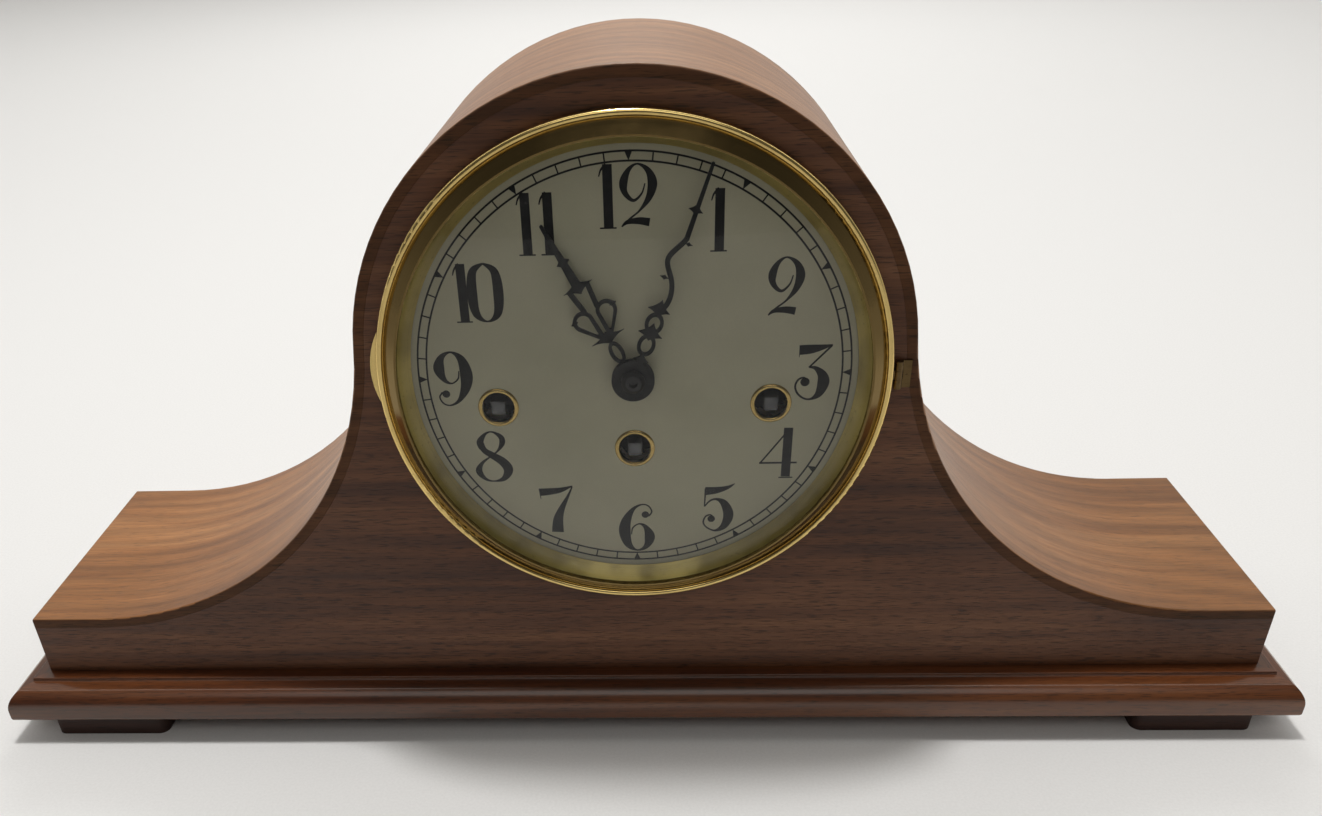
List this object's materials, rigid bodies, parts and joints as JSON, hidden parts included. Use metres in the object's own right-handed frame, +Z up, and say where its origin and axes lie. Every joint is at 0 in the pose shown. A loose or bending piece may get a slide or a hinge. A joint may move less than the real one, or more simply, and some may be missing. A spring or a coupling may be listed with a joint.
{
  "type": "tambour mantel clock",
  "caption": "Hat-shaped wooden mantel clock with a hinged convex-glass bezel, pierced hands, a back door and a spring-driven movement with chime hammers over rods.",
  "frame": {"origin": "middle of the footprint, on the surface that the feet stand on", "axes": "+X to the right seen from the front, +Y to the back, +Z up; the dial faces -Y"},
  "size_m": [0.5326, 0.1416, 0.258],
  "materials": {
    "front_walnut": "satin walnut veneer, dark",
    "top_walnut": "satin walnut, warm brown",
    "base_walnut": "polished reddish brown walnut",
    "foot_walnut": "dark stained wood",
    "back_wood": "plain stained plywood",
    "block_iron": "rough cast",
    "bezel_brass": "polished, aged",
    "reflector_brass": "matt",
    "dial_paint": "matt cream",
    "crystal": "clear convex glass",
    "hand_black": "black",
    "hinge_brass": "pressed, worn",
    "pin_steel": "bright",
    "movement_brass": "brushed",
    "movement_steel": "blued and bright"
  },
  "bodies": {
    "case": {"base_board": "base_walnut", "feet": "foot_walnut", "front_panel": "front_walnut", "tambour_top": "top_walnut", "back_panel": "back_wood", "end_blocks": "top_walnut", "door_hinge_case_leaves": "hinge_brass", "door_hinge_pins": "pin_steel", "dial_pan": "reflector_brass", "dial_plate": "dial_paint", "winding_grommets": "reflector_brass", "bezel_hinge_case_leaf": "bezel_brass", "bezel_hinge_pin": "pin_steel", "movement_front_plate": "movement_brass", "movement_back_plate": "movement_brass", "movement_pillars": "movement_brass", "pillar_nuts": "movement_steel", "movement_straps": "movement_steel", "hammer_arbor": "pin_steel", "rod_block": "block_iron", "chime_rods": "movement_steel"},
    "bezel": {"bezel_ring": "bezel_brass", "bezel_glass": "crystal", "reflector_ring": "reflector_brass", "bezel_thumb_tab": "bezel_brass", "bezel_hinge_bezel_leaf": "bezel_brass"},
    "back_door": {"rear_door": "back_wood", "door_knob": "hinge_brass", "door_hinge_door_leaves": "hinge_brass"},
    "minute_work": {"minute_hand": "hand_black", "hand_nut": "hand_black", "cannon_pinion": "movement_brass"},
    "hour_work": {"hour_hand": "hand_black", "hour_wheel": "movement_brass"},
    "minute_reduction": {"minute_wheel": "movement_brass"},
    "centre": {"centre_wheel": "movement_brass"},
    "third": {"third_wheel": "movement_brass"},
    "escape": {"escape_wheel": "movement_brass"},
    "lever": {"pallet_lever": "movement_steel"},
    "balance": {"balance_wheel": "movement_brass"},
    "strike_pins": {"strike_pin_wheel": "movement_brass"},
    "drum": {"chime_drum": "movement_brass"},
    "time_drive": {"time_barrel": "movement_brass", "time_mainspring": "movement_steel"},
    "time_arbor": {"time_winding_arbor": "movement_steel"},
    "time_pawl": {"time_click": "movement_steel"},
    "strike_drive": {"strike_barrel": "movement_brass", "strike_mainspring": "movement_steel"},
    "strike_arbor": {"strike_winding_arbor": "movement_steel"},
    "strike_pawl": {"strike_click": "movement_steel"},
    "chime_drive": {"chime_barrel": "movement_brass", "chime_mainspring": "movement_steel"},
    "chime_arbor": {"chime_winding_arbor": "movement_steel"},
    "chime_pawl": {"chime_click": "movement_steel"},
    "chime_hammer_1_body": {"chime_hammer_1": "movement_brass"},
    "chime_hammer_2_body": {"chime_hammer_2": "movement_brass"},
    "chime_hammer_3_body": {"chime_hammer_3": "movement_brass"},
    "chime_hammer_4_body": {"chime_hammer_4": "movement_brass"},
    "chime_hammer_5_body": {"chime_hammer_5": "movement_brass"}
  },
  "joints": [
    {"name": "bezel_hinge", "type": "hinge", "parent": "case", "child": "bezel", "pos_m": [0.0929, -0.0574, 0.1552], "axis": [0, 0, 1], "range_deg": [0, 110]},
    {"name": "back_door_hinge", "type": "hinge", "parent": "case", "child": "back_door", "pos_m": [-0.07, 0.0577, 0.11545], "axis": [0, 0, 1], "range_deg": [0, 105]},
    {"name": "minute_hand_turn", "type": "hinge", "parent": "case", "child": "minute_work", "pos_m": [0, -0.0536, 0.1552], "axis": [0, 1, 0], "continuous": true},
    {"name": "hour_hand_turn", "type": "hinge", "parent": "case", "child": "hour_work", "pos_m": [0, -0.0536, 0.1552], "axis": [0, 1, 0], "continuous": true},
    {"name": "minute_wheel_turn", "type": "hinge", "parent": "case", "child": "minute_reduction", "pos_m": [0.01103, -0.038, 0.16446], "axis": [0, 1, 0], "continuous": true},
    {"name": "third_wheel_turn", "type": "hinge", "parent": "case", "child": "third", "pos_m": [-0.0126, 0, 0.17021], "axis": [0, 1, 0], "continuous": true},
    {"name": "centre_wheel_turn", "type": "hinge", "parent": "case", "child": "centre", "pos_m": [0, 0, 0.1552], "axis": [0, 1, 0], "continuous": true},
    {"name": "escape_wheel_turn", "type": "hinge", "parent": "case", "child": "escape", "pos_m": [0.00319, 0, 0.17596], "axis": [0, 1, 0], "continuous": true},
    {"name": "time_barrel_turn", "type": "hinge", "parent": "case", "child": "time_drive", "pos_m": [0, 0, 0.1266], "axis": [0, 1, 0], "continuous": true},
    {"name": "strike_barrel_turn", "type": "hinge", "parent": "case", "child": "strike_drive", "pos_m": [-0.0492, 0, 0.1438], "axis": [0, 1, 0], "continuous": true},
    {"name": "strike_pin_wheel_turn", "type": "hinge", "parent": "case", "child": "strike_pins", "pos_m": [-0.04408, 0, 0.17284], "axis": [0, 1, 0], "continuous": true},
    {"name": "chime_barrel_turn", "type": "hinge", "parent": "case", "child": "chime_drive", "pos_m": [0.0492, 0, 0.1438], "axis": [0, 1, 0], "continuous": true},
    {"name": "chime_drum_turn", "type": "hinge", "parent": "case", "child": "drum", "pos_m": [0.04408, 0, 0.11476], "axis": [0, 1, 0], "continuous": true},
    {"name": "pallet_lever_rock", "type": "hinge", "parent": "case", "child": "lever", "pos_m": [0.01445, 0, 0.18246], "axis": [0, 1, 0], "range_deg": [-3, 3]},
    {"name": "balance_swing", "type": "hinge", "parent": "case", "child": "balance", "pos_m": [0.02666, 0, 0.18691], "axis": [0, 1, 0], "range_deg": [-140, 140], "stiffness_Nm_per_rad": 0.00005},
    {"name": "time_winding", "type": "hinge", "parent": "case", "child": "time_arbor", "pos_m": [0, 0, 0.1266], "axis": [0, 1, 0], "range_deg": [0, 2520]},
    {"name": "time_click_lift", "type": "hinge", "parent": "case", "child": "time_pawl", "pos_m": [0.0075, -0.0395, 0.13959], "axis": [0, 1, 0], "range_deg": [0, 12], "stiffness_Nm_per_rad": 0.0005, "springref_deg": -17.19},
    {"name": "strike_winding", "type": "hinge", "parent": "case", "child": "strike_arbor", "pos_m": [-0.0492, 0, 0.1438], "axis": [0, 1, 0], "range_deg": [0, 2520]},
    {"name": "strike_click_lift", "type": "hinge", "parent": "case", "child": "strike_pawl", "pos_m": [-0.0417, -0.0395, 0.15679], "axis": [0, 1, 0], "range_deg": [0, 12], "stiffness_Nm_per_rad": 0.0005, "springref_deg": -17.19},
    {"name": "chime_winding", "type": "hinge", "parent": "case", "child": "chime_arbor", "pos_m": [0.0492, 0, 0.1438], "axis": [0, 1, 0], "range_deg": [0, 2520]},
    {"name": "chime_click_lift", "type": "hinge", "parent": "case", "child": "chime_pawl", "pos_m": [0.0417, -0.0395, 0.15679], "axis": [0, 1, 0], "range_deg": [0, 12], "stiffness_Nm_per_rad": 0.0005, "springref_deg": -17.19},
    {"name": "chime_hammer_1_lift", "type": "hinge", "parent": "case", "child": "chime_hammer_1_body", "pos_m": [0.01808, 0.01, 0.10576], "axis": [0, 1, 0], "range_deg": [0, 12], "stiffness_Nm_per_rad": 0.02, "springref_deg": -5.73},
    {"name": "chime_hammer_2_lift", "type": "hinge", "parent": "case", "child": "chime_hammer_2_body", "pos_m": [0.01808, 0.01, 0.10576], "axis": [0, 1, 0], "range_deg": [0, 12], "stiffness_Nm_per_rad": 0.02, "springref_deg": -5.73},
    {"name": "chime_hammer_3_lift", "type": "hinge", "parent": "case", "child": "chime_hammer_3_body", "pos_m": [0.01808, 0.01, 0.10576], "axis": [0, 1, 0], "range_deg": [0, 12], "stiffness_Nm_per_rad": 0.02, "springref_deg": -5.73},
    {"name": "chime_hammer_4_lift", "type": "hinge", "parent": "case", "child": "chime_hammer_4_body", "pos_m": [0.01808, 0.01, 0.10576], "axis": [0, 1, 0], "range_deg": [0, 12], "stiffness_Nm_per_rad": 0.02, "springref_deg": -5.73},
    {"name": "chime_hammer_5_lift", "type": "hinge", "parent": "case", "child": "chime_hammer_5_body", "pos_m": [0.01808, 0.01, 0.10576], "axis": [0, 1, 0], "range_deg": [0, 12], "stiffness_Nm_per_rad": 0.02, "springref_deg": -5.73}
  ],
  "couplings": [
    {"joint": "minute_wheel_turn", "follows": "minute_hand_turn", "ratio": -0.33333},
    {"joint": "hour_hand_turn", "follows": "minute_hand_turn", "ratio": 0.083333},
    {"joint": "centre_wheel_turn", "follows": "third_wheel_turn", "ratio": -0.16667},
    {"joint": "escape_wheel_turn", "follows": "third_wheel_turn", "ratio": -6},
    {"joint": "time_barrel_turn", "follows": "third_wheel_turn", "ratio": 0.02381},
    {"joint": "strike_pin_wheel_turn", "follows": "strike_barrel_turn", "ratio": -5.6},
    {"joint": "chime_drum_turn", "follows": "chime_barrel_turn", "ratio": -5.6}
  ]
}
